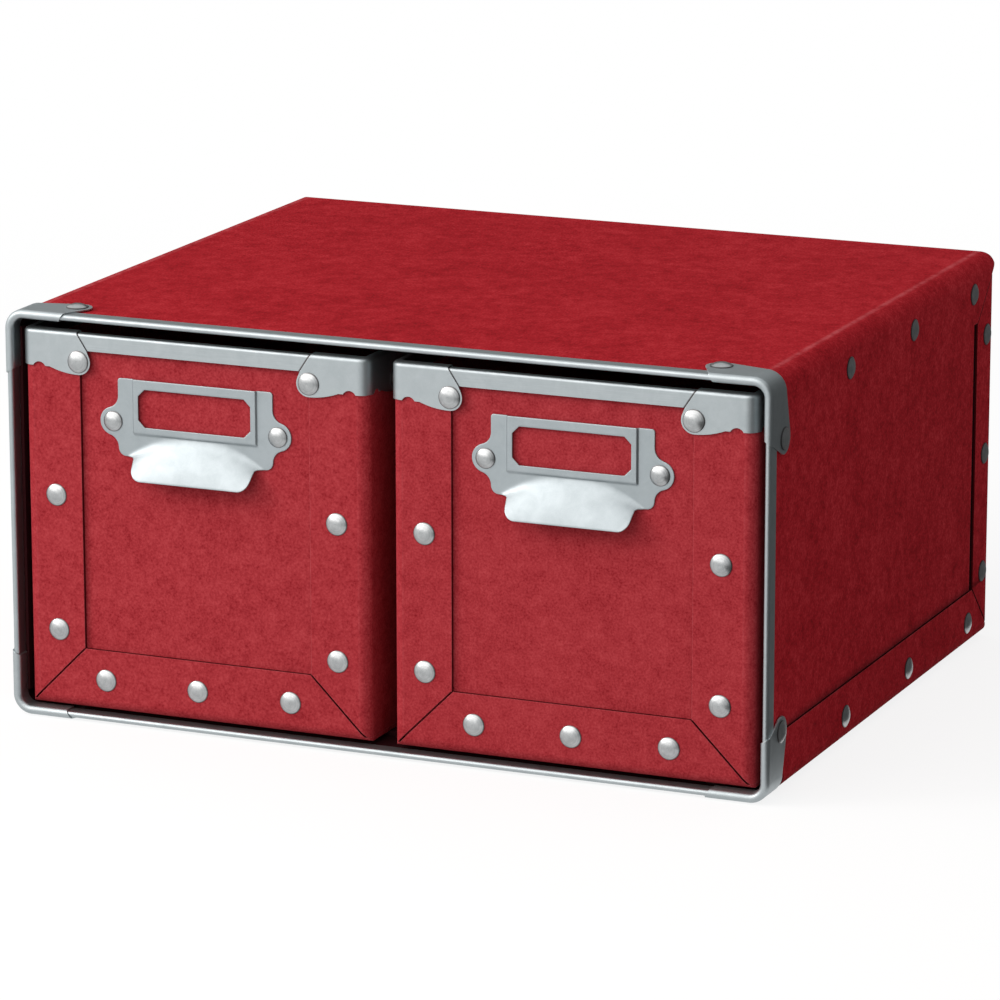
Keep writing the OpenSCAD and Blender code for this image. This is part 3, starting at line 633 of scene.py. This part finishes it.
def window_outline():
    low = LABEL_Z + WINDOW_LIFT
    right = [(WINDOW_W / 2 - WINDOW_CUT, low + WINDOW_H), (WINDOW_W / 2, low + WINDOW_H - WINDOW_CUT)]
    right += [(WINDOW_W / 2, low + WINDOW_CUT), (WINDOW_W / 2 - WINDOW_CUT, low)]
    return right + [(-x, z) for x, z in reversed(right)]


def dense(outline, step):
    """The outline with its long edges divided into pieces no longer than step."""
    points = []
    for a, b in zip(outline, outline[1:] + outline[:1]):
        parts = max(1, math.ceil(math.dist(a, b) / step))
        points += [tuple(a[i] + (b[i] - a[i]) * k / parts for i in range(2)) for k in range(parts)]
    return points


def inside(points, outline):
    """Which of the points lie in the outline."""
    found = np.zeros(len(points), bool)
    for (ax, az), (bx, bz) in zip(outline, outline[1:] + outline[:1]):
        crosses = (points[:, 1] < az) != (points[:, 1] < bz)
        if az != bz:
            found ^= crosses & (points[:, 0] < ax + (points[:, 1] - az) * (bx - ax) / (bz - az))
    return found


def clearance(points, outline):
    """Each point's distance from the outline."""
    nearest = np.full(len(points), np.inf)
    for a, b in zip(outline, outline[1:] + outline[:1]):
        a, b = np.array(a), np.array(b)
        t = np.clip((points - a) @ (b - a) / ((b - a) @ (b - a)), 0, 1)
        nearest = np.minimum(nearest, np.linalg.norm(points - a - t[:, None] * (b - a), axis=1))
    return nearest


def smooth_step(x):
    x = np.clip(x, 0, 1)
    return x * x * (3 - 2 * x)


def pull_height(x, z):
    """How far the sheet stands proud of the plate.

    The hood runs from its straight lip, HOOD_OUT in front of the plate, up to an arched crown on
    the plate, where it blends into it. Its section bulges a little.
    """
    edge = np.minimum(LABEL_W / 2 - np.abs(x), z - LABEL_Z)
    label = LABEL_RISE * smooth_step(edge / LABEL_RAMP)
    crown = HOOD_H - HOOD_CROWN_R + np.sqrt(HOOD_CROWN_R**2 - np.minimum(np.abs(x), HOOD_CROWN_R - 1) ** 2)
    climb = (z + HOOD_DROP) / np.maximum(crown, 1)
    hood = HOOD_OUT * (1 - climb) * (1 + HOOD_BULGE * climb)
    share = np.clip(0.5 + 0.5 * hood / HOOD_BLEND, 0, 1)
    bulge = hood * share + HOOD_BLEND * share * (1 - share)
    return label + np.where(np.abs(x) > CROWN_W / 2 + 1, 0, np.maximum(bulge, 0))


def build_pull(side, material):
    """A stamped plate with ears, a raised label frame round an open window, and a finger hood."""
    node = side + "_pull"
    low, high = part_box(node)
    origin = Vector(((low.x + high.x) / 2, high.y - PULL_SHEET * MM, high.z - PLATE_H * MM))
    outline = dense(pull_outline(), PULL_STEP)
    window = dense(window_outline(), PULL_STEP)
    columns = math.ceil((EAR_X + EAR_R) / PULL_STEP)
    rows = range(-math.ceil(HOOD_DROP / PULL_STEP), math.ceil(PLATE_H / PULL_STEP))
    grid = np.array([(i * PULL_STEP, j * PULL_STEP) for i in range(-columns, columns + 1) for j in rows])
    keep = inside(grid, outline) & ~inside(grid, window)
    keep &= np.minimum(clearance(grid, outline), clearance(grid, window)) > 0.5 * PULL_STEP
    flat = [Vector(p) for p in outline + window] + [Vector(p) for p in grid[keep]]
    edges, start = [], 0
    for loop in (outline, window):
        edges += [(start + k, start + (k + 1) % len(loop)) for k in range(len(loop))]
        start += len(loop)
    points, _, faces, _, _, _ = delaunay_2d_cdt(flat, edges, [], 1, 1e-6)
    points = np.array([p[:] for p in points])
    middles = np.array([points[list(f)].mean(0) for f in faces])
    hidden = inside(middles, window) | ~inside(middles, outline)
    height = pull_height(points[:, 0], points[:, 1])
    place = [origin + Vector((x, -h, z)) * MM for (x, z), h in zip(points, height)]
    mesh = bpy.data.meshes.new("stamped_" + node)
    mesh.from_pydata(place, [], [f for f, gone in zip(faces, hidden) if not gone])
    if mesh.polygons[0].normal.y > 0:
        mesh.flip_normals()
    piece = add_piece("stamped_" + node, mesh, material, side + "_drawer", "stamping", node)
    shell = piece.modifiers.new("sheet", "SOLIDIFY")
    shell.thickness = PULL_SHEET * MM
    shell.offset = -1
    bevel = piece.modifiers.new("edges", "BEVEL")
    bevel.width = 0.12 * MM
    bevel.segments = 2
    bevel.limit_method = "ANGLE"
    bevel.angle_limit = math.radians(55)
    return piece


# Dressing --------------------------------------------------------------------------


def clad(node, material):
    """Gives a CAD node another material."""
    for slot in nodes[node].material_slots:
        slot.material = material


def dress_boards():
    cabinet = cabinet_material()
    for node in ("sleeve", "base", "back"):
        clad(node, cabinet)
    for side, seed in zip(DRAWERS, (7.7, 12.7)):
        material = drawer_material(side, seed)
        for part in ("tray", "side_left", "side_right", "panel_front", "panel_back"):
            clad(f"{side}_{part}", material)
    lining_and_shade = lining_and_shade_material()
    for node in ("liner_left", "liner_right", "floor_liner"):
        clad(node, lining_and_shade)


def dress_metal():
    along_x = metal_material("channel_across", NICKEL, NICKEL_DEEP, 0.42, along=0)[0]
    along_z = metal_material("channel_upright", NICKEL, NICKEL_DEEP, 0.42, along=2)[0]
    stamped = metal_material("satin_stamping", NICKEL, NICKEL_DEEP, 0.46)[0]
    plate = metal_material("satin_plate", PLATE, PLATE_DEEP, 0.48)[0]
    turned = turned_material()
    rims = {(side, axis): rim_material(side, axis) for side in DRAWERS for axis in (0, 1)}
    for node in nodes:
        side = node.split("_")[0]
        if "_rim_" in node:
            clad(node, rims[side, 1 if node.endswith(("left", "right")) else 0])
        elif node in ("rail_top", "rail_bottom"):
            clad(node, along_x)
        elif "rail_" in node:
            clad(node, along_z)
        elif "cap_" in node or "corner_" in node:
            clad(node, stamped)
    for node in [n for n in nodes if "rivets" in n]:
        build_rivets(node, nodes[node]["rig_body"], turned)
    for side in DRAWERS:
        build_pull(side, plate)


# Studio ----------------------------------------------------------------------------

VIEW_YAW = 23.299
VIEW_PITCH = 13.969
VIEW_ROLL = -0.048
VIEW_DISTANCE = 2.197374
VIEW_TARGET = Vector((-0.006034, 0, 0.072252))
VIEW_LENS = 194.07
AMBIENT = 0.50
LIGHT_TINT = (1.0, 0.95, 0.92)
FLOOR_SIZE = 14
FLOOR_GLOW = 0.84
FLOOR_PALE = 0.18
FLOOR_FADE = (0.35, 1.1)
# Each light: the way to it, its distance, width, height and power
LIGHTS = {
    "softbox": ((-0.45, -0.67, 0.60), 1.9, 2.8, 2.1, 29.0),
    "key": ((-0.72, -0.54, 0.44), 1.8, 0.5, 0.5, 8.0),
}
# Grey flags to the right and behind, seen only in the metal: two walls, and cards on the floor
FLAG_WALLS = ((0.62, -0.9), (0.62, 0.62), (-0.8, 0.62))
FLAG_CARDS = (((0.175, -0.9), (0.62, 0.62)), ((-0.8, 0.15), (0.175, 0.62)))
FLAG_HEIGHT = 0.75
FLAG_GREY = 0.12


def add_camera():
    """Looks from the front, a little from the right and from above, from far away."""
    yaw, pitch = math.radians(VIEW_YAW), math.radians(VIEW_PITCH)
    ahead = Vector((-math.sin(yaw) * math.cos(pitch), math.cos(yaw) * math.cos(pitch), -math.sin(pitch)))
    data = bpy.data.cameras.new("camera")
    data.lens = VIEW_LENS
    data.sensor_width = 36
    data.clip_end = 50
    camera = bpy.data.objects.new("camera", data)
    bpy.context.scene.collection.objects.link(camera)
    roll = Quaternion(ahead, -math.radians(VIEW_ROLL))
    turn = roll @ ahead.to_track_quat("-Z", "Y")
    camera.matrix_world = Matrix.LocRotScale(VIEW_TARGET - VIEW_DISTANCE * ahead, turn, None)
    bpy.context.scene.camera = camera


def seen_directly(graph):
    """1 for camera, glossy and transmission rays, and 0 for the light that falls on things."""
    path = graph.node("LightPath")
    glossy = graph.math("MAXIMUM", path.outputs["Is Glossy Ray"], path.outputs["Is Transmission Ray"])
    return graph.math("MAXIMUM", path.outputs["Is Camera Ray"], glossy)


def add_world():
    world = bpy.data.worlds.new("studio")
    bpy.context.scene.world = world
    world.use_nodes = True
    graph = Graph(world.node_tree)
    background = graph.node("Background")
    output = graph.node("OutputWorld")
    strength = graph.remap(seen_directly(graph), 0, 1, AMBIENT, 1)
    graph.put((1, 1, 1, 1), background.inputs["Color"])
    graph.put(strength, background.inputs["Strength"])
    graph.put(background.outputs[0], output.inputs["Surface"])


def add_stage(name, corners, faces):
    mesh = bpy.data.meshes.new(name)
    mesh.from_pydata(corners, [], faces)
    stage = bpy.data.objects.new(name, mesh)
    bpy.context.scene.collection.objects.link(stage)
    material = bpy.data.materials.new(name)
    material.use_nodes = True
    mesh.materials.append(material)
    return stage, Graph(material.node_tree)


def add_floor():
    """A pale floor that keeps the chest's shadow and turns white away from it."""
    half = FLOOR_SIZE / 2
    level = cad_box[0][2] - 0.5 * MM
    corners = [(-half, -half, level), (half, -half, level), (half, half, level), (-half, half, level)]
    _, graph = add_stage("floor", corners, [(0, 1, 2, 3)])
    plain = graph.node("BsdfDiffuse")
    plain.inputs["Color"].default_value = (0.5, 0.5, 0.5, 1)
    pale = graph.node("BsdfDiffuse")
    pale.inputs["Color"].default_value = (FLOOR_PALE, FLOOR_PALE, FLOOR_PALE, 1)
    glow = graph.node("Emission")
    glow.inputs["Strength"].default_value = FLOOR_GLOW
    near = graph.node("AddShader")
    graph.put(pale.outputs[0], near.inputs[0])
    graph.put(glow.outputs[0], near.inputs[1])
    white = graph.node("Emission")
    distance = graph.length(graph.place())
    faded = graph.node("MixShader")
    graph.put(graph.remap(distance, *FLOOR_FADE, smooth=True), faded.inputs[0])
    graph.put(near.outputs[0], faded.inputs[1])
    graph.put(white.outputs[0], faded.inputs[2])
    mix = graph.node("MixShader")
    graph.put(seen_directly(graph), mix.inputs[0])
    graph.put(plain.outputs[0], mix.inputs[1])
    graph.put(faded.outputs[0], mix.inputs[2])
    output = graph.node("OutputMaterial")
    graph.put(mix.outputs[0], output.inputs["Surface"])


def add_flag():
    """The grey walls and cards, as one mesh that sends no light onto the chest's boards."""
    corners = [(x, y, z) for x, y in FLAG_WALLS for z in (0, FLAG_HEIGHT)]
    faces = [(0, 1, 3, 2), (2, 3, 5, 4)]
    for (x0, y0), (x1, y1) in FLAG_CARDS:
        first = len(corners)
        corners += [(x, y, 0) for x, y in ((x0, y0), (x1, y0), (x1, y1), (x0, y1))]
        faces.append(tuple(range(first, first + 4)))
    flag, graph = add_stage("flag", corners, faces)
    glow = graph.node("Emission")
    glow.inputs["Strength"].default_value = FLAG_GREY
    output = graph.node("OutputMaterial")
    graph.put(glow.outputs[0], output.inputs["Surface"])
    flag.visible_camera = False
    flag.visible_diffuse = False
    flag.visible_shadow = False


def add_light(name, way, distance, width, height, power):
    """An area light that faces the middle of the chest."""
    data = bpy.data.lights.new(name, "AREA")
    data.shape = "RECTANGLE"
    data.size = width
    data.size_y = height
    data.energy = power
    data.color = LIGHT_TINT
    light = bpy.data.objects.new(name, data)
    bpy.context.scene.collection.objects.link(light)
    way = Vector(way).normalized()
    target = Vector((0, 0, 0.08))
    light.matrix_world = Matrix.LocRotScale(target + distance * way, way.to_track_quat("Z", "Y"), None)
    light.visible_camera = False


def main():
    add_camera()
    add_world()
    add_floor()
    add_flag()
    for name, settings in LIGHTS.items():
        add_light(name, *settings)
    dress_boards()
    dress_metal()
    bpy.context.scene.view_settings.view_transform = "Standard"


main()
